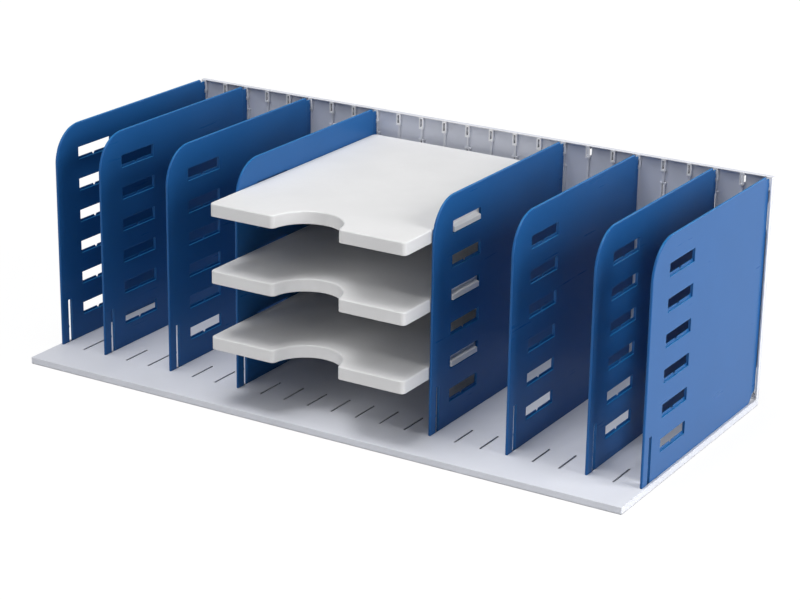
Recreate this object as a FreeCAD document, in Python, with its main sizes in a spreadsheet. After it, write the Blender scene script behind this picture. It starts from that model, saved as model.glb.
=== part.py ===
import FreeCAD, Part
import os
import re
import Sketcher

# Sorting station for a desk: a base plate and a rear panel carry a row of slots, upright dividers plug
# into the slots, and shelves hang by their side lugs in the holes of two dividers.
# Millimetres, +Z up. The origin is on the table under the middle of the station, and its front faces -Y.

SLOT_COUNT = 25
HOLE_ROWS = 6
DIVIDER_SLOTS = (0, 2, 5, 8, 16, 19, 22, 24)
SHELF_SLOTS = (8, 16)
SHELF_NAMES = ("shelf_top", "shelf_middle", "shelf_bottom")
SHELF_ROWS = range(0, HOLE_ROWS, 2)
LEDGE_SLOTS = range(0, SLOT_COUNT, 2)
HANGING_SLOTS = (17, 23)
TENON_SLOTS = (1, 6, 12, 18, 23)
BASE_RIB_STEPS = (-9.5, -5.5, -1.5, 1.5, 5.5, 9.5)
SHELF_RIB_SHARES = (0.25, 0.5, 0.75)

SIZES = {
    # Row of slots
    "slot_pitch": 29.8,
    "slot_length": 38.5,
    "slot_width": 2.3,
    "end_margin": 3.9,
    # Base plate
    "base_height": 7.0,
    "base_deck": 2.4,
    "base_skirt": 2.4,
    "base_rib": 1.8,
    "base_rib_gap": 12.0,
    "base_edge_radius": 0.5,
    "divider_setback": 49.5,
    # Feet
    "foot_radius": 7.0,
    "foot_taper": 0.5,
    "foot_thickness": 2.0,
    "foot_protrusion": 0.6,
    "foot_inset": 22.0,
    "foot_clearance": 0.2,
    "boss_wall": 1.5,
    # Divider plate
    "divider_thickness": 2.8,
    "divider_height": 249.0,
    "plate_depth": 267.0,
    "deck_gap": 0.3,
    "corner_radius": 40.0,
    "horn_chamfer": 1.6,
    "rim_radius": 1.1,
    "heel_length": 7.0,
    "heel_height": 6.5,
    # Front finger, and the tabs that enter the base plate
    "finger_width": 10.7,
    "finger_gap": 6.0,
    "finger_height": 50.0,
    "bump_height": 17.0,
    "bump_length": 3.4,
    "bump_depth": 0.6,
    "tab_depth": 4.5,
    "tab_root": 3.0,
    "tab_clearance": 0.25,
    "tab_end_gap": 0.4,
    # Lug holes of a divider
    "hole_setback": 37.1,
    "hole_length": 57.4,
    "hole_height": 14.2,
    "hole_top_margin": 28.2,
    "hole_bottom_margin": 25.2,
    "sill_rise": 2.5,
    "sill_root": 0.9,
    "sill_land": 0.5,
    "notch_width": 4.8,
    "notch_depth": 3.3,
    # Rear strip of a divider, and its hook
    "strip_thickness": 1.6,
    "strip_reach": 9.6,
    "strip_root": 2.0,
    "strip_drop": 4.0,
    "strip_foot": 12.5,
    "strip_clearance": 0.4,
    "shoulder_gap": 2.0,
    "hook_height": 4.2,
    "hook_reach": 2.8,
    "hook_lift": 0.5,
    "hook_side_gap": 0.4,
    # Rear panel
    "panel_sheet": 2.0,
    "panel_drop": 1.8,
    "panel_end_wall": 1.8,
    "panel_rim": 1.0,
    "panel_lower_rim": 1.8,
    "panel_rim_reach": 3.5,
    "rib_width": 2.4,
    "rib_depth": 2.5,
    "eyelet_width": 5.0,
    "eyelet_depth": 4.0,
    "eyelet_wall": 2.3,
    "eyelet_head": 2.6,
    "eyelet_slot_height": 9.3,
    "hanging_reach": 0.6,
    "hanging_chamfer": 1.6,
    "hanging_lip": 0.8,
    "ledge_width": 7.5,
    "ledge_thickness": 1.7,
    "ledge_drop": 29.8,
    "ledge_height": 36.2,
    "ledge_slot_width": 2.1,
    "ledge_slot_height": 31.0,
    "ledge_frame_wall": 1.8,
    "tenon_width": 14.0,
    "tenon_thickness": 2.0,
    "tenon_depth": 4.2,
    "tenon_offset": 1.0,
    "tenon_clearance": 0.2,
    # Shelf
    "shelf_height": 13.6,
    "shelf_top_wall": 2.2,
    "shelf_skirt": 2.2,
    "shelf_side_gap": 0.6,
    "shelf_rear_gap": 6.5,
    "shelf_corner_radius": 5.0,
    "shelf_edge_radius": 1.4,
    "shelf_rib": 1.6,
    "shelf_rib_height": 3.0,
    "cutout_radius": 38.5,
    "cutout_corner_radius": 5.0,
    # Side lugs of a shelf
    "lug_root": 1.2,
    "lug_height": 9.4,
    "lug_nose": 2.0,
    "lug_nose_height": 7.8,
    "lug_clearance": 0.3,
    "lug_end_gap": 0.4,
    "lug_rear_gap": 4.4,
    # Overrun of every cut, and the reach for finding an edge
    "overrun": 1.0,
    "edge_reach": 0.01,
}

# Sizes that follow from the others
BASE_WIDTH = f"({SLOT_COUNT - 1} * slot_pitch + 2 * end_margin)"
BASE_DEPTH = "(divider_setback + plate_depth + strip_reach + strip_clearance + rib_depth + panel_sheet)"
BASE_FRONT = f"(-{BASE_DEPTH} / 2)"
DECK = "(foot_protrusion + base_height)"
HOLE_PITCH = (
    "((divider_height - hole_top_margin - hole_bottom_margin - hole_height)"
    f" / {HOLE_ROWS - 1})"
)
PANEL_TOP = "(divider_height - panel_drop)"
EYELET_SLOT_TOP = f"({PANEL_TOP} - eyelet_head)"
EYELET_SLOT_BOTTOM = f"({EYELET_SLOT_TOP} - eyelet_slot_height)"
EYELET_BOTTOM = f"({EYELET_SLOT_BOTTOM} - eyelet_wall)"
EYELET_SLOT_WIDTH = "(strip_thickness + 2 * hook_side_gap)"
STRIP_REAR = "(plate_depth + strip_reach)"
EYELET_FACE = f"({STRIP_REAR} + strip_clearance + rib_depth - eyelet_depth)"
TENON_FRONT = "(panel_sheet + tenon_offset + tenon_thickness)"
SHELF_WIDTH = (
    f"({SHELF_SLOTS[1] - SHELF_SLOTS[0]} * slot_pitch - divider_thickness - 2 * shelf_side_gap)"
)
SHELF_DEPTH = f"({BASE_DEPTH} - panel_sheet - eyelet_depth - shelf_rear_gap)"

doc = FreeCAD.newDocument("sorting_station")
sheet = doc.addObject("Spreadsheet::Sheet", "sizes")
for row, (alias, value) in enumerate(SIZES.items(), start=1):
    sheet.set(f"A{row}", alias)
    sheet.set(f"B{row}", str(value))
    sheet.setAlias(f"B{row}", alias)
doc.recompute()

SIDE = FreeCAD.Rotation(FreeCAD.Vector(1, 1, 1), 120)
FRONT = FreeCAD.Rotation(FreeCAD.Vector(1, 0, 0), 90)


def in_sheet(text):
    """An expression with each named size read from its cell."""
    return re.sub(r"[a-z]\w*", lambda word: f"sizes.{word[0]}" if word[0] in SIZES else word[0], text)


def number(text):
    """The present value of an expression."""
    return float(sheet.evalExpression(in_sheet(text)))


def bind(item, expressions):
    for place, text in expressions.items():
        item.setExpression(place, in_sheet(text))


def move(item, x="0", y="0", z="0"):
    bind(item, {"Placement.Base.x": x, "Placement.Base.y": y, "Placement.Base.z": z})


def box(name, size, corner):
    block = doc.addObject("Part::Box", name)
    bind(block, dict(zip(("Length", "Width", "Height"), size)))
    move(block, *corner)
    return block


def cylinder(name, radius, height, centre):
    drum = doc.addObject("Part::Cylinder", name)
    bind(drum, {"Radius": radius, "Height": height})
    move(drum, *centre)
    return drum


def prism(name, plane, corners, start, length):
    """A straight-sided outline, drawn on the side (Y, Z) or the front (X, Z), carried across from start."""
    outline = doc.addObject("Sketcher::SketchObject", f"{name}_outline")
    outline.Placement = FreeCAD.Placement(FreeCAD.Vector(), plane)
    places = [FreeCAD.Vector(number(across), number(up), 0) for across, up in corners]
    for index, place in enumerate(places):
        outline.addGeometry(Part.LineSegment(place, places[(index + 1) % len(places)]))
    for index, (across, up) in enumerate(corners):
        following = (index + 1) % len(corners)
        outline.addConstraint(Sketcher.Constraint("Coincident", index, 2, following, 1))
        for kind, text in (("DistanceX", across), ("DistanceY", up)):
            datum = outline.addConstraint(Sketcher.Constraint(kind, index, 1, number(text)))
            bind(outline, {f"Constraints[{datum}]": text})
    if plane is SIDE:
        move(outline, x=start)
    else:
        move(outline, y=start)
    solid = doc.addObject("Part::Extrusion", name)
    solid.Base = outline
    solid.DirMode = "Normal"
    solid.Reversed = plane is FRONT
    solid.Solid = True
    bind(solid, {"LengthFwd": length})
    return solid


def join(name, solids):
    whole = doc.addObject("Part::MultiFuse", name)
    whole.Shapes = solids
    return whole


def cut(name, base, tools):
    group = doc.addObject("Part::Compound", f"{name}_tools")
    group.Links = tools
    rest = doc.addObject("Part::Cut", name)
    rest.Base = base
    rest.Tool = group
    return rest


def clean(name, source):
    """The same solid with the seams between its joined pieces removed."""
    whole = doc.addObject("Part::Refine", name)
    whole.Source = source
    return whole


def round_edges(name, base, rounds):
    """Rounds each edge that a test picks, with the radius beside the test."""
    doc.recompute()
    picked = []
    for index, edge in enumerate(base.Shape.Edges, start=1):
        for test, radius in rounds:
            if test(edge.BoundBox):
                picked.append((index, number(radius), number(radius)))
    soft = doc.addObject("Part::Fillet", name)
    soft.Base = base
    soft.Edges = picked
    return soft


def piece(label, source, x="0", y="0", z="0"):
    """One separate piece of the station, in its place."""
    whole = clean(label, source)
    whole.Label = label
    move(whole, x, y, z)
    return whole


def at(value, text):
    return abs(value - number(text)) < number("edge_reach")


def slot_centre(slot):
    return f"({slot - (SLOT_COUNT - 1) / 2} * slot_pitch)"


def centred(width):
    return f"(-{width} / 2)"


def hole_floor(row):
    """Height of a lug hole's lower edge above the deck."""
    return f"(hole_bottom_margin + {HOLE_ROWS - 1 - row} * {HOLE_PITCH})"


# Base plate: a skirted tray, open below, with the row of slots near its front edge, slots for the rear
# panel's tenons at its back, ribs underneath and bosses for the feet. Its own heights start at its rim.

FOOT_SPREAD_X = f"({BASE_WIDTH} / 2 - foot_inset)"
FOOT_SPREAD_Y = f"({BASE_DEPTH} / 2 - foot_inset)"
FOOT_PLACES = {
    f"foot_{depth}_{width}": (f"{x_sign} * {FOOT_SPREAD_X}", f"{y_sign} * {FOOT_SPREAD_Y}")
    for depth, y_sign in (("front", -1), ("rear", 1))
    for width, x_sign in (("left", -1), ("middle", 0), ("right", 1))
}
BASE_CAVITY = "(base_height - base_deck)"
FOOT_RECESS = "(foot_thickness - foot_protrusion)"

base_block = box(
    "base_block",
    (BASE_WIDTH, BASE_DEPTH, "base_height"),
    (centred(BASE_WIDTH), BASE_FRONT, "0"),
)


def on_base_outside(bounds):
    upright = at(bounds.ZLength, "base_height")
    upper = at(bounds.ZMin, "base_height")
    return upright or upper


base_soft = round_edges("base_soft", base_block, [(on_base_outside, "base_edge_radius")])
base_cavity = box(
    "base_cavity",
    (f"{BASE_WIDTH} - 2 * base_skirt", f"{BASE_DEPTH} - 2 * base_skirt", f"{BASE_CAVITY} + overrun"),
    (f"{centred(BASE_WIDTH)} + base_skirt", f"{BASE_FRONT} + base_skirt", "-overrun"),
)
base_shell = cut("base_shell", base_soft, [base_cavity])
base_stiffeners = []
for index, step in enumerate(BASE_RIB_STEPS):
    base_stiffeners.append(
        box(
            f"base_cross_rib_{index}",
            ("base_rib", f"{BASE_DEPTH} - 2 * base_skirt", BASE_CAVITY),
            (f"{step} * slot_pitch - base_rib / 2", f"{BASE_FRONT} + base_skirt", "0"),
        )
    )
SLOT_END = "(divider_setback + slot_length)"
for index, offset in enumerate((f"{SLOT_END} + base_rib_gap", f"({BASE_DEPTH} + {SLOT_END}) / 2")):
    base_stiffeners.append(
        box(
            f"base_long_rib_{index}",
            (f"{BASE_WIDTH} - 2 * base_skirt", "base_rib", BASE_CAVITY),
            (f"{centred(BASE_WIDTH)} + base_skirt", f"{BASE_FRONT} + {offset}", "0"),
        )
    )
for foot, (x, y) in FOOT_PLACES.items():
    base_stiffeners.append(cylinder(f"{foot}_boss", "foot_radius + boss_wall", BASE_CAVITY, (x, y, "0")))
base_ribbed = join("base_ribbed", [base_shell] + base_stiffeners)
base_openings = []
for slot in range(SLOT_COUNT):
    base_openings.append(
        box(
            f"base_slot_{slot}",
            ("slot_width", "slot_length", "base_deck + 2 * overrun"),
            (
                f"{slot_centre(slot)} - slot_width / 2",
                f"{BASE_FRONT} + divider_setback",
                f"{BASE_CAVITY} - overrun",
            ),
        )
    )
for slot in TENON_SLOTS:
    base_openings.append(
        box(
            f"tenon_slot_{slot}",
            (
                "tenon_width + 2 * tenon_clearance",
                "tenon_thickness + 2 * tenon_clearance",
                "base_height + 2 * overrun",
            ),
            (
                f"{slot_centre(slot)} - tenon_width / 2 - tenon_clearance",
                f"{BASE_DEPTH} / 2 - {TENON_FRONT} - tenon_clearance",
                "-overrun",
            ),
        )
    )
for foot, (x, y) in FOOT_PLACES.items():
    base_openings.append(
        cylinder(
            f"{foot}_seat",
            "foot_radius + foot_clearance",
            f"{FOOT_RECESS} + overrun",
            (x, y, "-overrun"),
        )
    )
base_plate = piece("base_plate", cut("base_open", base_ribbed, base_openings), z="foot_protrusion")

# Feet: soft round pads, tapered towards the table, set into the bosses.

feet = []
for foot, (x, y) in FOOT_PLACES.items():
    pad = doc.addObject("Part::Cone", f"{foot}_pad")
    bind(pad, {"Radius1": "foot_radius - foot_taper", "Radius2": "foot_radius", "Height": "foot_thickness"})
    feet.append(piece(foot, pad, x, y))

# Rear panel: a thin sheet with a rim round it and a rib behind every slot. Each rib ends above in an
# eyelet for a divider's hook, and two of the eyelets are open to the right, for hanging the station on
# hooks. Every second rib has two ledges over a tall slot. Tenons under the panel enter the base plate.
# Its own depths start at the rear face and its heights at the deck.

SHEET_FACE = "(-panel_sheet)"
panel_solids = [
    box("panel_face", (BASE_WIDTH, "panel_sheet", PANEL_TOP), (centred(BASE_WIDTH), SHEET_FACE, "0")),
]
for edge, height, rim in (
    ("upper", f"{PANEL_TOP} - panel_rim", "panel_rim"),
    ("lower", "0", "panel_lower_rim"),
):
    panel_solids.append(
        box(
            f"panel_{edge}_rim",
            (BASE_WIDTH, "panel_rim_reach", rim),
            (centred(BASE_WIDTH), f"{SHEET_FACE} - panel_rim_reach", height),
        )
    )
for end, corner in (("left", centred(BASE_WIDTH)), ("right", f"{BASE_WIDTH} / 2 - panel_end_wall")):
    panel_solids.append(
        box(
            f"panel_{end}_wall",
            ("panel_end_wall", "eyelet_depth", PANEL_TOP),
            (corner, f"{SHEET_FACE} - eyelet_depth", "0"),
        )
    )
panel_slots = []
for slot in range(SLOT_COUNT):
    panel_solids.append(
        box(
            f"panel_rib_{slot}",
            ("rib_width", "rib_depth", PANEL_TOP),
            (f"{slot_centre(slot)} - rib_width / 2", f"{SHEET_FACE} - rib_depth", "0"),
        )
    )
    panel_solids.append(
        box(
            f"eyelet_{slot}",
            ("eyelet_width", "eyelet_depth", f"{PANEL_TOP} - {EYELET_BOTTOM}"),
            (f"{slot_centre(slot)} - eyelet_width / 2", f"{SHEET_FACE} - eyelet_depth", EYELET_BOTTOM),
        )
    )
    panel_slots.append(
        box(
            f"eyelet_slot_{slot}",
            (EYELET_SLOT_WIDTH, "eyelet_depth + panel_sheet + 2 * overrun", "eyelet_slot_height"),
            (
                f"{slot_centre(slot)} - {EYELET_SLOT_WIDTH} / 2",
                f"{SHEET_FACE} - eyelet_depth - overrun",
                EYELET_SLOT_BOTTOM,
            ),
        )
    )
LEDGE_FRAME_WIDTH = "(ledge_slot_width + 2 * ledge_frame_wall)"
for slot in LEDGE_SLOTS:
    for level, height in (("upper", "(divider_height - ledge_drop)"), ("lower", "ledge_height")):
        panel_solids.append(
            box(
                f"{level}_ledge_{slot}",
                ("ledge_width", "rib_depth", "ledge_thickness"),
                (f"{slot_centre(slot)} - ledge_width / 2", f"{SHEET_FACE} - rib_depth", height),
            )
        )
        panel_solids.append(
            box(
                f"{level}_ledge_frame_{slot}",
                (LEDGE_FRAME_WIDTH, "rib_depth", "ledge_slot_height + ledge_frame_wall"),
                (
                    f"{slot_centre(slot)} - {LEDGE_FRAME_WIDTH} / 2",
                    f"{SHEET_FACE} - rib_depth",
                    f"{height} - ledge_slot_height - ledge_frame_wall",
                ),
            )
        )
        panel_slots.append(
            box(
                f"{level}_ledge_slot_{slot}",
                ("ledge_slot_width", "rib_depth + panel_sheet + 2 * overrun", "ledge_slot_height"),
                (
                    f"{slot_centre(slot)} - ledge_slot_width / 2",
                    f"{SHEET_FACE} - rib_depth - overrun",
                    f"{height} - ledge_slot_height",
                ),
            )
        )
for slot in TENON_SLOTS:
    panel_solids.append(
        box(
            f"tenon_{slot}",
            ("tenon_width", "tenon_thickness", "tenon_depth + panel_lower_rim"),
            (f"{slot_centre(slot)} - tenon_width / 2", f"-{TENON_FRONT}", "-tenon_depth"),
        )
    )
panel_slotted = cut("panel_slotted", join("panel_solid", panel_solids), panel_slots)
hanging_slots = []
for slot in HANGING_SLOTS:
    outer = f"{slot_centre(slot)} + eyelet_width / 2 + hanging_reach"
    outer_end = f"{outer} - hanging_chamfer"
    hanging_slots.append(
        prism(
            f"hanging_slot_{slot}",
            FRONT,
            [
                (slot_centre(slot), EYELET_SLOT_BOTTOM),
                (outer_end, EYELET_SLOT_BOTTOM),
                (outer, f"{EYELET_SLOT_BOTTOM} + hanging_chamfer"),
                (outer, f"{EYELET_SLOT_TOP} - hanging_chamfer"),
                (outer_end, EYELET_SLOT_TOP),
                (slot_centre(slot), EYELET_SLOT_TOP),
            ],
            f"{SHEET_FACE} - eyelet_depth + hanging_lip",
            "eyelet_depth - hanging_lip + panel_sheet + overrun",
        )
    )
panel_open = cut("panel_open", panel_slotted, hanging_slots)
rear_panel = piece("rear_panel", panel_open, y=f"{BASE_DEPTH} / 2", z=DECK)

# Divider: a plate with a rounded front corner and six lug holes. A gap behind its front edge leaves a
# springy finger. Tabs below enter the base plate, and a thinner strip at the rear carries the hook. Its
# own widths start at its middle, its depths at its front edge and its heights at the deck.

FINGER_END = "(finger_width + finger_gap)"
BUMP_STEP = "(bump_length / 3)"
divider_plate = prism(
    "divider_plate",
    SIDE,
    [
        ("0", "deck_gap"),
        ("finger_width", "deck_gap"),
        ("finger_width", "bump_height"),
        ("finger_width + bump_depth", f"bump_height + {BUMP_STEP}"),
        ("finger_width + bump_depth", f"bump_height + 2 * {BUMP_STEP}"),
        ("finger_width", "bump_height + bump_length"),
        ("finger_width", "finger_height"),
        (FINGER_END, "finger_height"),
        (FINGER_END, "deck_gap"),
        ("plate_depth - heel_length", "deck_gap"),
        ("plate_depth", "heel_height"),
        ("plate_depth", "divider_height - horn_chamfer"),
        ("plate_depth - horn_chamfer", "divider_height"),
        ("0", "divider_height"),
    ],
    "-divider_thickness / 2",
    "divider_thickness",
)
STRIP_INNER = "(plate_depth - strip_root)"
STRIP_AT_EYELET = f"({EYELET_FACE} - strip_clearance)"
HOOK_TIP = f"({EYELET_FACE} + hook_reach)"
HOOK_BOTTOM = f"({EYELET_SLOT_BOTTOM} + hook_lift)"
divider_strip = prism(
    "divider_strip",
    SIDE,
    [
        (STRIP_INNER, "heel_height"),
        ("plate_depth", "heel_height"),
        (STRIP_REAR, "strip_foot"),
        (STRIP_REAR, f"{EYELET_BOTTOM} - shoulder_gap"),
        (STRIP_AT_EYELET, f"{EYELET_BOTTOM} - shoulder_gap"),
        (STRIP_AT_EYELET, HOOK_BOTTOM),
        (HOOK_TIP, HOOK_BOTTOM),
        (HOOK_TIP, f"{HOOK_BOTTOM} + hook_height"),
        (STRIP_AT_EYELET, f"{HOOK_BOTTOM} + hook_height"),
        (STRIP_AT_EYELET, "divider_height - strip_drop"),
        (STRIP_INNER, "divider_height - strip_drop"),
    ],
    "-strip_thickness / 2",
    "strip_thickness",
)
TAB_THICKNESS = "(slot_width - 2 * tab_clearance)"
finger_tab = prism(
    "finger_tab",
    SIDE,
    [
        ("tab_end_gap", "0"),
        ("tab_end_gap + tab_depth", "-tab_depth"),
        ("finger_width", "-tab_depth"),
        ("finger_width", "tab_root"),
        ("tab_end_gap", "tab_root"),
    ],
    centred(TAB_THICKNESS),
    TAB_THICKNESS,
)
plate_tab = box(
    "plate_tab",
    (TAB_THICKNESS, f"slot_length - tab_end_gap - {FINGER_END}", "tab_depth + tab_root"),
    (centred(TAB_THICKNESS), FINGER_END, "-tab_depth"),
)
divider_blank = join("divider_blank", [divider_plate, divider_strip, finger_tab, plate_tab])
holes = []
sills = []
notches = []
HOLE_MIDDLE = "(hole_setback + hole_length / 2)"
for row in range(HOLE_ROWS):
    floor = hole_floor(row)
    crest = f"{floor} + sill_rise"
    holes.append(
        box(
            f"hole_{row}",
            ("divider_thickness + 2 * overrun", "hole_length", "hole_height"),
            ("-divider_thickness / 2 - overrun", "hole_setback", floor),
        )
    )
    sills.append(
        prism(
            f"sill_{row}",
            FRONT,
            [
                ("-divider_thickness / 2", floor),
                ("-divider_thickness / 2 + sill_root", floor),
                ("-divider_thickness / 2 + sill_land", crest),
                ("-divider_thickness / 2", crest),
            ],
            "hole_setback",
            "hole_length",
        )
    )
    notches.append(
        prism(
            f"notch_{row}",
            SIDE,
            [
                (HOLE_MIDDLE, f"{crest} - notch_depth"),
                (f"{HOLE_MIDDLE} + notch_width / 2", crest),
                (f"{HOLE_MIDDLE} + notch_width / 2", f"{crest} + overrun"),
                (f"{HOLE_MIDDLE} - notch_width / 2", f"{crest} + overrun"),
                (f"{HOLE_MIDDLE} - notch_width / 2", crest),
            ],
            "-divider_thickness / 2 - overrun",
            "divider_thickness + 2 * overrun",
        )
    )
divider_pierced = cut("divider_pierced", divider_blank, holes)
divider_silled = join("divider_silled", [divider_pierced] + sills)
divider_sharp = clean("divider_sharp", cut("divider_notched", divider_silled, notches))


def on_front_corner(bounds):
    return at(bounds.YMax, "0") and at(bounds.ZMin, "divider_height")


def on_rim(bounds):
    on_face = at(bounds.XLength, "0") and at(abs(bounds.XMin), "divider_thickness / 2")
    front = at(bounds.YMin, "0")
    upper = at(bounds.ZMax, "divider_height")
    return on_face and (front or upper) and bounds.DiagonalLength > number("finger_width")


divider_cornered = round_edges("divider_cornered", divider_sharp, [(on_front_corner, "corner_radius")])
divider_form = round_edges("divider_form", divider_cornered, [(on_rim, "rim_radius")])
dividers = []
for index, slot in enumerate(DIVIDER_SLOTS, start=1):
    dividers.append(
        piece(f"divider_{index}", divider_form, slot_centre(slot), f"{BASE_FRONT} + divider_setback", DECK)
    )

# Shelf: a shallow tray turned over, with soft outer edges, a round finger cut-out in its front edge,
# ribs underneath and a lug on each side that passes over the sill of a divider's hole and rests on it.
# Its own depths start at its front edge and its heights at its rim.

shelf_block = box(
    "shelf_block", (SHELF_WIDTH, SHELF_DEPTH, "shelf_height"), (centred(SHELF_WIDTH), "0", "0")
)
shelf_cutout = cylinder(
    "shelf_cutout", "cutout_radius", "shelf_height + 2 * overrun", ("0", "0", "-overrun")
)
shelf_sharp = cut("shelf_sharp", shelf_block, [shelf_cutout])


def on_shelf_corner(bounds):
    return at(bounds.ZLength, "shelf_height") and at(abs(bounds.XMin), f"{SHELF_WIDTH} / 2")


def on_cutout_corner(bounds):
    return at(bounds.ZLength, "shelf_height") and at(abs(bounds.XMin), "cutout_radius")


def on_shelf_top(bounds):
    return at(bounds.ZMin, "shelf_height")


shelf_cornered = round_edges(
    "shelf_cornered",
    shelf_sharp,
    [(on_shelf_corner, "shelf_corner_radius"), (on_cutout_corner, "cutout_corner_radius")],
)
shelf_soft = round_edges("shelf_soft", shelf_cornered, [(on_shelf_top, "shelf_edge_radius")])
SHELF_CAVITY = "(shelf_height - shelf_top_wall)"
shelf_hollow_block = box(
    "shelf_hollow_block",
    (f"{SHELF_WIDTH} - 2 * shelf_skirt", f"{SHELF_DEPTH} - 2 * shelf_skirt", f"{SHELF_CAVITY} + overrun"),
    (f"{centred(SHELF_WIDTH)} + shelf_skirt", "shelf_skirt", "-overrun"),
)
cutout_wall = cylinder(
    "cutout_wall", "cutout_radius + shelf_skirt", "shelf_height + 2 * overrun", ("0", "0", "-2 * overrun")
)
shelf_hollow = cut("shelf_hollow", shelf_hollow_block, [cutout_wall])
shelf_shell = cut("shelf_shell", shelf_soft, [shelf_hollow])
shelf_ribs = []
for index, share in enumerate(SHELF_RIB_SHARES):
    shelf_ribs.append(
        box(
            f"shelf_long_rib_{index}",
            (f"{SHELF_WIDTH} - 2 * shelf_skirt", "shelf_rib", "shelf_rib_height"),
            (
                f"{centred(SHELF_WIDTH)} + shelf_skirt",
                f"{share} * {SHELF_DEPTH} - shelf_rib / 2",
                f"{SHELF_CAVITY} - shelf_rib_height",
            ),
        )
    )
    shelf_ribs.append(
        box(
            f"shelf_cross_rib_{index}",
            ("shelf_rib", f"{SHELF_DEPTH} - cutout_radius - 2 * shelf_skirt", "shelf_rib_height"),
            (
                f"{centred(SHELF_WIDTH)} + {share} * {SHELF_WIDTH} - shelf_rib / 2",
                "cutout_radius + shelf_skirt",
                f"{SHELF_CAVITY} - shelf_rib_height",
            ),
        )
    )
LUG_UNDER = "(sill_rise + lug_clearance)"
LUG_TIP = "(shelf_side_gap + divider_thickness + lug_nose)"
LUG_PROFILE = [
    ("-lug_root", LUG_UNDER),
    (LUG_TIP, LUG_UNDER),
    (LUG_TIP, "lug_nose_height"),
    ("shelf_side_gap", "lug_height"),
    ("-lug_root", "lug_height"),
]
shelf_lugs = []
for side, sign in (("left", "-"), ("right", "")):
    shelf_lugs.append(
        prism(
            f"{side}_lug",
            FRONT,
            [(f"{sign}({SHELF_WIDTH} / 2 + {across})", up) for across, up in LUG_PROFILE],
            "divider_setback + hole_setback + lug_end_gap",
            "hole_length - lug_end_gap - lug_rear_gap",
        )
    )
shelf_form = join("shelf_form", [shelf_shell] + shelf_ribs + shelf_lugs)
shelves = []
for label, row in zip(SHELF_NAMES, SHELF_ROWS):
    shelves.append(piece(label, shelf_form, y=BASE_FRONT, z=f"{DECK} + {hole_floor(row)}"))

# Every piece is tested and written out under its own name.

doc.recompute()
for item in doc.Objects:
    if "Invalid" in item.State or "Error" in item.State:
        raise RuntimeError(f"{item.Name} failed: {item.State}")
os.makedirs("parts", exist_ok=True)
for whole in [base_plate, rear_panel] + feet + dividers + shelves:
    if whole.Shape.isNull() or not whole.Shape.isValid() or len(whole.Shape.Solids) != 1:
        raise RuntimeError(f"{whole.Label} is not one valid solid")
    whole.Shape.exportStep(f"parts/{whole.Label}.step")
    print(whole.Label, round(whole.Shape.Volume), whole.Shape.BoundBox)
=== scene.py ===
import math
import bpy
from mathutils import Matrix, Vector


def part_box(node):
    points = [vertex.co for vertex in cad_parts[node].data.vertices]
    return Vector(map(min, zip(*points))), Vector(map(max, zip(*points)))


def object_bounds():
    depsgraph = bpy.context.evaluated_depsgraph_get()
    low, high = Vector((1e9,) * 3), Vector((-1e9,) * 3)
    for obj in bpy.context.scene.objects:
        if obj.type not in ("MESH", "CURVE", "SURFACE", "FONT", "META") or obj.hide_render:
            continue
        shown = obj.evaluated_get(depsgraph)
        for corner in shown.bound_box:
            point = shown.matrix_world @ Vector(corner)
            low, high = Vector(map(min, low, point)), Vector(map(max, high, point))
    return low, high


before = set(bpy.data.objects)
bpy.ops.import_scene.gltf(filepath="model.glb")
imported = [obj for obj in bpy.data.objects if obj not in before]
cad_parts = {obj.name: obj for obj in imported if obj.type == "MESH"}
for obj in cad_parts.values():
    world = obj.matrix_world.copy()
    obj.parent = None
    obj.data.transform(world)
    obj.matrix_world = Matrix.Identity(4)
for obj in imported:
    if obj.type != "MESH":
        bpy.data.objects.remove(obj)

cad_box = [list(corner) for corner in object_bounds()]

# Base plate: a shallow tray moulded in pale grey plastic, with a row of slots for the dividers.
# It lies on the desk on six pads, and its spark-eroded skin is matt and a little dusty on top. Its slots
# are painted dark as painted shade, and its edges are painted paler as wear and painted highlight.


class Shade:
    """An output socket in a material. Sums and products of shades add Math nodes."""

    def __init__(self, tree, socket=None):
        self.tree = tree
        self.socket = socket

    def node(self, kind, settings, sockets, out=0):
        made = self.tree.nodes.new(kind)
        for name, value in settings.items():
            setattr(made, name, value)
        for name, value in sockets.items():
            if isinstance(value, Shade):
                self.tree.links.new(value.socket, made.inputs[name])
            else:
                made.inputs[name].default_value = value
        return Shade(self.tree, made.outputs[out])

    def math(self, operation, first, second):
        return self.node("ShaderNodeMath", {"operation": operation}, {0: first, 1: second})

    def __add__(self, other):
        return self.math("ADD", self, other)

    def __radd__(self, other):
        return self.math("ADD", other, self)

    def __sub__(self, other):
        return self.math("SUBTRACT", self, other)

    def __rsub__(self, other):
        return self.math("SUBTRACT", other, self)

    def __mul__(self, other):
        return self.math("MULTIPLY", self, other)

    def __rmul__(self, other):
        return self.math("MULTIPLY", other, self)

    def ramp(self, low, high, first=0.0, last=1.0):
        return self.node(
            "ShaderNodeMapRange",
            {"interpolation_type": "SMOOTHSTEP"},
            {"Value": self, "From Min": low, "From Max": high, "To Min": first, "To Max": last},
        )

    def tint(self, first, second):
        return self.node("ShaderNodeMix", {"data_type": "RGBA"}, {0: self, 6: first, 7: second}, 2)


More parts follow.
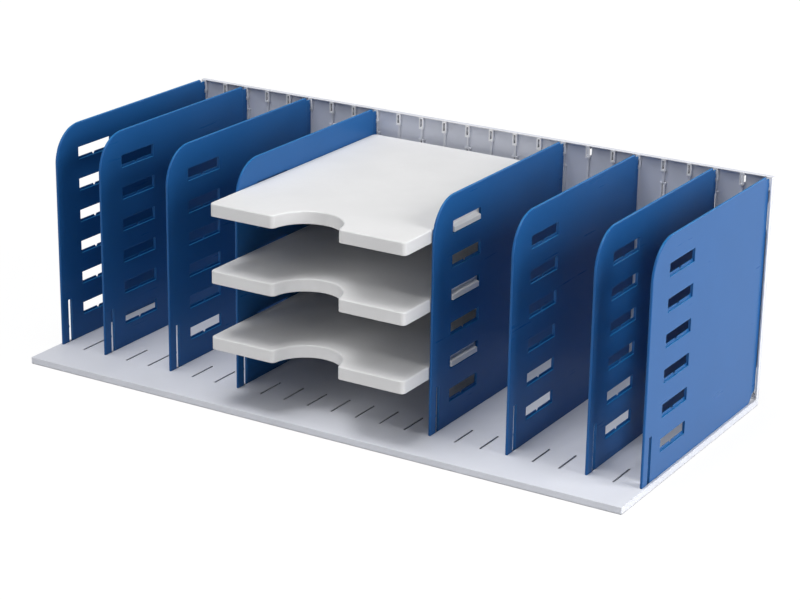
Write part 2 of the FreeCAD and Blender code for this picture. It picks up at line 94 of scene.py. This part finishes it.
# How often the patterns of a moulded skin repeat in a metre, and the levels between which each fades in.
CLOUDS_PER_METRE = 17.0
CLOUD_LEVELS = (0.30, 0.70)
CLOUD_SHADE = 0.96
STREAKS_PER_METRE = (700.0, 14.0, 240.0)
STREAK_TURN = (0.03, 0.05, 0.4)
STREAK_LEVELS = (0.60, 0.78)
STREAK_PATCH_LEVELS = (0.40, 0.70)
SPECKS_PER_METRE = 420.0
SPECK_LEVELS = (0.52, 0.75)
DUST_PATCH_LEVELS = (0.35, 0.75)
DUST_UPWARD_LEVELS = (0.7, 1.0)
DUST_COVER = 0.35
EDGE_BEND_LEVELS = (0.985, 0.80)
LEAST_EDGE_WEAR_AND_HIGHLIGHT = 0.5
GRAIN_MIDDLE = 0.5
GRAIN_ROUGHENS = 0.10
DUST_ROUGHENS = 0.15
STREAKS_SMOOTH = 0.06
WEAR_SMOOTHS = 0.08
GRAIN_STRENGTH = 0.5


def moulded_plastic(name, colour, edge_wear_and_highlight, dusty, gloss, roughness, grain_size, grain_depth, edge_radius):
    """Moulded plastic: cloudy colour, fine skin, streaks from handling, dust above, edges painted paler as
    wear and painted highlight.
    """
    material = bpy.data.materials.new(name)
    material.use_nodes = True
    tree = material.node_tree
    skin = tree.nodes["Principled BSDF"]
    skin.inputs["Specular IOR Level"].default_value = gloss
    start = Shade(tree)
    place = start.node("ShaderNodeTexCoord", {}, {}, "Object")

    def noise(across, scale, detail, mix=0.5):
        sockets = {"Vector": across, "Scale": scale, "Detail": detail, "Roughness": mix}
        return start.node("ShaderNodeTexNoise", {}, sockets)

    grain = noise(place, 1 / grain_size, 2.0, 0.6)
    cloud = noise(place, CLOUDS_PER_METRE, 3.0, 0.55)
    speck = noise(place, SPECKS_PER_METRE, 4.0)
    long_way = start.node(
        "ShaderNodeMapping", {}, {"Vector": place, "Rotation": STREAK_TURN, "Scale": STREAKS_PER_METRE}
    )
    scuff = noise(long_way, 1.0, 1.0).ramp(*STREAK_LEVELS) * cloud.ramp(*STREAK_PATCH_LEVELS)
    facing = start.node("ShaderNodeNewGeometry", {}, {}, "Normal")
    soft = start.node("ShaderNodeBevel", {"samples": 4}, {"Radius": edge_radius})
    bend = start.node("ShaderNodeVectorMath", {"operation": "DOT_PRODUCT"}, {0: facing, 1: soft}, "Value")
    # Edges are painted paler: partly wear, partly painted highlight where rounded edges would catch the
    # light.
    edge_wear_and_highlight_mask = bend.ramp(*EDGE_BEND_LEVELS) * cloud.ramp(*CLOUD_LEVELS, LEAST_EDGE_WEAR_AND_HIGHLIGHT, 1.0)
    upward = start.node("ShaderNodeSeparateXYZ", {}, {"Vector": facing}, "Z").ramp(*DUST_UPWARD_LEVELS)
    dust = upward * speck.ramp(*SPECK_LEVELS) * cloud.ramp(*DUST_PATCH_LEVELS)
    shaded = tuple(CLOUD_SHADE * part for part in colour[:3]) + (1.0,)
    edged = edge_wear_and_highlight_mask.tint(cloud.ramp(*CLOUD_LEVELS).tint(shaded, colour), edge_wear_and_highlight)
    dusted = (dust * DUST_COVER).tint(edged, dusty)
    tree.links.new(dusted.socket, skin.inputs["Base Color"])
    rough = roughness + (grain - GRAIN_MIDDLE) * GRAIN_ROUGHENS + dust * DUST_ROUGHENS
    rough = rough - scuff * STREAKS_SMOOTH - edge_wear_and_highlight_mask * WEAR_SMOOTHS
    tree.links.new(rough.socket, skin.inputs["Roughness"])
    relief = start.node(
        "ShaderNodeBump",
        {},
        {"Strength": GRAIN_STRENGTH, "Distance": grain_depth, "Height": grain, "Normal": soft},
    )
    tree.links.new(relief.socket, skin.inputs["Normal"])
    return material


def repaint(material, mask, colour):
    """Lays another colour over a material's own where the mask is 1."""
    skin = material.node_tree.nodes["Principled BSDF"].inputs["Base Color"]
    below = Shade(mask.tree, skin.links[0].from_socket)
    mask.tree.links.new(mask.tint(below, colour).socket, skin)


# Colour of the painted shade in narrow slots and recesses.
SLOT_PAINTED_SHADE = (0.045, 0.045, 0.055, 1.0)


def darken_slots(material, reach, pale_from, dark_below):
    """Paints narrow slots dark as painted shade: reach is how far off a wall still counts as close."""
    start = Shade(material.node_tree)
    close_walls = {"samples": 8, "only_local": True}
    open_air = start.node("ShaderNodeAmbientOcclusion", close_walls, {"Distance": reach}, "AO")
    repaint(material, open_air.ramp(pale_from, dark_below), SLOT_PAINTED_SHADE)


def finish_node(name, material):
    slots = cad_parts[name].data.materials
    slots.clear()
    slots.append(material)


base_finish = moulded_plastic(
    "pale_grey_plastic",
    colour=(0.725, 0.742, 0.800, 1.0),
    edge_wear_and_highlight=(0.78, 0.79, 0.83, 1.0),
    dusty=(0.68, 0.68, 0.68, 1.0),
    gloss=0.4,
    roughness=0.46,
    grain_size=0.0007,
    grain_depth=0.00004,
    edge_radius=0.0006,
)
darken_slots(base_finish, reach=0.006, pale_from=0.50, dark_below=0.40)
finish_node("base_plate", base_finish)

# Feet: six soft round pads of dark rubber, pressed into the bosses under the base plate.
# They are matt and pick up lint, and their edges are painted paler as scuffs and painted highlight.

foot_finish = moulded_plastic(
    "foot_rubber",
    colour=(0.032, 0.033, 0.036, 1.0),
    edge_wear_and_highlight=(0.060, 0.060, 0.062, 1.0),
    dusty=(0.16, 0.16, 0.155, 1.0),
    gloss=0.2,
    roughness=0.74,
    grain_size=0.0004,
    grain_depth=0.00003,
    edge_radius=0.0003,
)
for depth_word in ("front", "rear"):
    for width_word in ("left", "middle", "right"):
        finish_node(f"foot_{depth_word}_{width_word}", foot_finish)

# Rear panel: a thin sheet in the same grey plastic with ribs, eyelets, ledges and a rim on its front.
# It stands on the rear edge of the base plate, in which its five tenons are seated. What is raised from
# the sheet is painted paler as painted light, its slots are painted dark as painted shade, and its edges
# paler as wear and painted highlight.

EYELET_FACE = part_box("rear_panel")[0][1]
RIB_FACE = EYELET_FACE + 0.0015
SHEET_FACE = RIB_FACE + 0.0025
RIB_FADE = 0.0005
EYELET_FADE_BELOW = 0.0002
EYELET_FADE_ABOVE = 0.0003
RIB_PAINTED_LIGHT_SHARE = 0.45
RIB_PAINTED_LIGHT = (0.84, 0.85, 0.88, 1.0)
EYELET_PAINTED_LIGHT = (0.90, 0.90, 0.92, 1.0)
panel_finish = moulded_plastic(
    "pale_grey_panel",
    colour=(0.69, 0.713, 0.795, 1.0),
    edge_wear_and_highlight=(0.76, 0.77, 0.82, 1.0),
    dusty=(0.62, 0.62, 0.64, 1.0),
    gloss=0.4,
    roughness=0.42,
    grain_size=0.0007,
    grain_depth=0.00003,
    edge_radius=0.0010,
)
panel = Shade(panel_finish.node_tree)
panel_place = panel.node("ShaderNodeNewGeometry", {}, {}, "Position")
panel_depth = panel.node("ShaderNodeSeparateXYZ", {}, {"Vector": panel_place}, "Y")
# Ribs and eyelets, standing forward of the sheet, are painted paler: painted light where they would catch
# more light.
rib_light_mask = panel_depth.ramp(SHEET_FACE - RIB_FADE, RIB_FACE, 0.0, RIB_PAINTED_LIGHT_SHARE)
eyelet_light_mask = panel_depth.ramp(RIB_FACE - EYELET_FADE_BELOW, EYELET_FACE + EYELET_FADE_ABOVE)
repaint(panel_finish, rib_light_mask, RIB_PAINTED_LIGHT)
repaint(panel_finish, eyelet_light_mask, EYELET_PAINTED_LIGHT)
darken_slots(panel_finish, reach=0.004, pale_from=0.42, dark_below=0.18)
finish_node("rear_panel", panel_finish)

# Dividers: eight upright plates moulded in blue plastic, with a satin skin whose edges are painted paler as
# wear and painted highlight.
# Two tabs below hold each one in a slot of the base plate, and a hook at the rear in an eyelet. Its
# upward-facing surfaces, such as its upper edge and the sills of its holes, are painted paler blue as
# painted highlight.

DIVIDER_COUNT = 8
UPWARD_HIGHLIGHT_LEVELS = (0.45, 0.90)
UPWARD_HIGHLIGHT_COLOUR = (0.012, 0.155, 0.40, 1.0)
divider_finish = moulded_plastic(
    "blue_plastic",
    colour=(0.016, 0.107, 0.318, 1.0),
    edge_wear_and_highlight=(0.045, 0.260, 0.60, 1.0),
    dusty=(0.06, 0.16, 0.38, 1.0),
    gloss=0.15,
    roughness=0.31,
    grain_size=0.0005,
    grain_depth=0.00002,
    edge_radius=0.0008,
)
divider = Shade(divider_finish.node_tree)
divider_normal = divider.node("ShaderNodeNewGeometry", {}, {}, "Normal")
divider_upward = divider.node("ShaderNodeSeparateXYZ", {}, {"Vector": divider_normal}, "Z")
# Upward-facing surfaces are painted paler blue as painted highlight.
repaint(divider_finish, divider_upward.ramp(*UPWARD_HIGHLIGHT_LEVELS), UPWARD_HIGHLIGHT_COLOUR)
for number in range(1, DIVIDER_COUNT + 1):
    finish_node(f"divider_{number}", divider_finish)

# Shelves: three shallow trays turned over, moulded in off-white plastic with soft edges.
# A lug on each side rests on the sill of a hole in the divider beside it.

shelf_finish = moulded_plastic(
    "white_plastic",
    colour=(0.765, 0.765, 0.768, 1.0),
    edge_wear_and_highlight=(0.85, 0.85, 0.84, 1.0),
    dusty=(0.70, 0.69, 0.67, 1.0),
    gloss=0.4,
    roughness=0.44,
    grain_size=0.0006,
    grain_depth=0.00003,
    edge_radius=0.0007,
)
for level in ("top", "middle", "bottom"):
    finish_node(f"shelf_{level}", shelf_finish)

# Desk: a plain white sheet under the station, which keeps a soft shadow and shows white to the camera.
# Farther off, where no shadow falls, it runs into the white background without an edge.

FLOOR_HALF = 6.0
DESK_COLOUR = (0.78, 0.78, 0.79, 1.0)
DESK_ROUGHNESS = 0.8
DESK_GLOW = 1.06
NEAR_WHITE_SHARE = 0.85
SHADOW_REACH = 0.9
SHADOW_END = 2.4
WHITE = (1.0, 1.0, 1.0, 1.0)
floor_mesh = bpy.data.meshes.new("floor")
floor_corners = [(x * FLOOR_HALF, y * FLOOR_HALF, 0) for x, y in ((-1, -1), (1, -1), (1, 1), (-1, 1))]
floor_mesh.from_pydata(floor_corners, [], [(0, 1, 2, 3)])
floor = bpy.data.objects.new("floor", floor_mesh)
bpy.context.scene.collection.objects.link(floor)
floor_finish = bpy.data.materials.new("white_desk")
floor_finish.use_nodes = True
desk = Shade(floor_finish.node_tree)
desk_paint = desk.tree.nodes["Principled BSDF"]
desk_paint.inputs["Base Color"].default_value = DESK_COLOUR
desk_paint.inputs["Roughness"].default_value = DESK_ROUGHNESS
desk_ray = desk.node("ShaderNodeLightPath", {}, {}, "Is Camera Ray")
desk_gloss = desk.node("ShaderNodeLightPath", {}, {}, "Is Glossy Ray")
desk_white = desk.node("ShaderNodeEmission", {}, {"Color": WHITE, "Strength": DESK_GLOW})
desk_place = desk.node("ShaderNodeNewGeometry", {}, {}, "Position")
covered = 1.0
for axis, reach in zip("XY", cad_box[1]):
    off_middle = desk.node("ShaderNodeSeparateXYZ", {}, {"Vector": desk_place}, axis)
    covered = desk.math("LESS_THAN", desk.math("ABSOLUTE", off_middle, 0.0), reach) * covered
desk_reach = desk.node("ShaderNodeVectorMath", {"operation": "LENGTH"}, {0: desk_place}, "Value")
desk_clear = desk_reach.ramp(SHADOW_REACH, SHADOW_END, NEAR_WHITE_SHARE, 1.0)
desk_share = (desk_ray + desk_gloss) * desk_clear * (1.0 - covered)
desk_mix = desk.node(
    "ShaderNodeMixShader", {}, {0: desk_share, 1: Shade(desk.tree, desk_paint.outputs[0]), 2: desk_white}
)
desk.tree.links.new(desk_mix.socket, desk.tree.nodes["Material Output"].inputs["Surface"])
floor_mesh.materials.append(floor_finish)

# Light: a dim sky, a tall softbox beside the right end, a broad one overhead, a weak one high in front
# and a weak one low behind the rear panel. All of them face the middle of the station.

AIR_LEVEL = 0.06
GLOSS_LEVEL = 0.35
STATION_MIDDLE = Vector((0.0, 0.0, 0.12))
sky = bpy.data.worlds.new("studio")
sky.use_nodes = True
bpy.context.scene.world = sky
air = Shade(sky.node_tree)
air_ray = air.node("ShaderNodeLightPath", {}, {}, "Is Camera Ray")
air_gloss = air.node("ShaderNodeLightPath", {}, {}, "Is Glossy Ray")
air_strength = AIR_LEVEL + air_ray * (1.0 - AIR_LEVEL) + air_gloss * (GLOSS_LEVEL - AIR_LEVEL)
backdrop = sky.node_tree.nodes["Background"]
backdrop.inputs["Color"].default_value = WHITE
sky.node_tree.links.new(air_strength.socket, backdrop.inputs["Strength"])


def softbox(name, place, width, height, power):
    lamp = bpy.data.lights.new(name, "AREA")
    lamp.shape = "RECTANGLE"
    lamp.size = width
    lamp.size_y = height
    lamp.energy = power
    holder = bpy.data.objects.new(name, lamp)
    holder.location = place
    holder.rotation_euler = (STATION_MIDDLE - Vector(place)).to_track_quat("-Z", "Y").to_euler()
    holder.visible_camera = False
    bpy.context.scene.collection.objects.link(holder)


softbox("right_end", place=(2.6, 0.15, 1.10), width=1.4, height=2.0, power=60.0)
softbox("overhead", place=(-0.3, -0.6, 3.9), width=2.2, height=1.8, power=102.0)
softbox("high_front", place=(-0.6, -3.0, 3.3), width=3.2, height=2.6, power=46.0)
softbox("low_rear", place=(1.0, 3.2, 0.9), width=2.4, height=1.2, power=30.0)

# Camera: it stands in the photograph's direction, a little above the station, with a long lens.
# The photograph's lens was shifted, and this one isn't, so that other views keep the station in the middle.

CAMERA_PLACE = (1.2062, -1.9882, 0.9282)
LOOK_AZIMUTH = math.radians(30.98)
LOOK_ELEVATION = math.radians(19.67)
LOOK_ROLL = math.radians(0.89)
SENSOR_WIDTH = 36.0
LENS = 103.6
view = bpy.data.cameras.new("view")
view.sensor_width = SENSOR_WIDTH
view.lens = LENS
viewer = bpy.data.objects.new("view", view)
viewer.matrix_world = (
    Matrix.Translation(CAMERA_PLACE)
    @ Matrix.Rotation(LOOK_AZIMUTH, 4, "Z")
    @ Matrix.Rotation(math.pi / 2 - LOOK_ELEVATION, 4, "X")
    @ Matrix.Rotation(LOOK_ROLL, 4, "Z")
)
bpy.context.scene.collection.objects.link(viewer)
bpy.context.scene.camera = viewer
bpy.context.scene.view_settings.view_transform = "Standard"
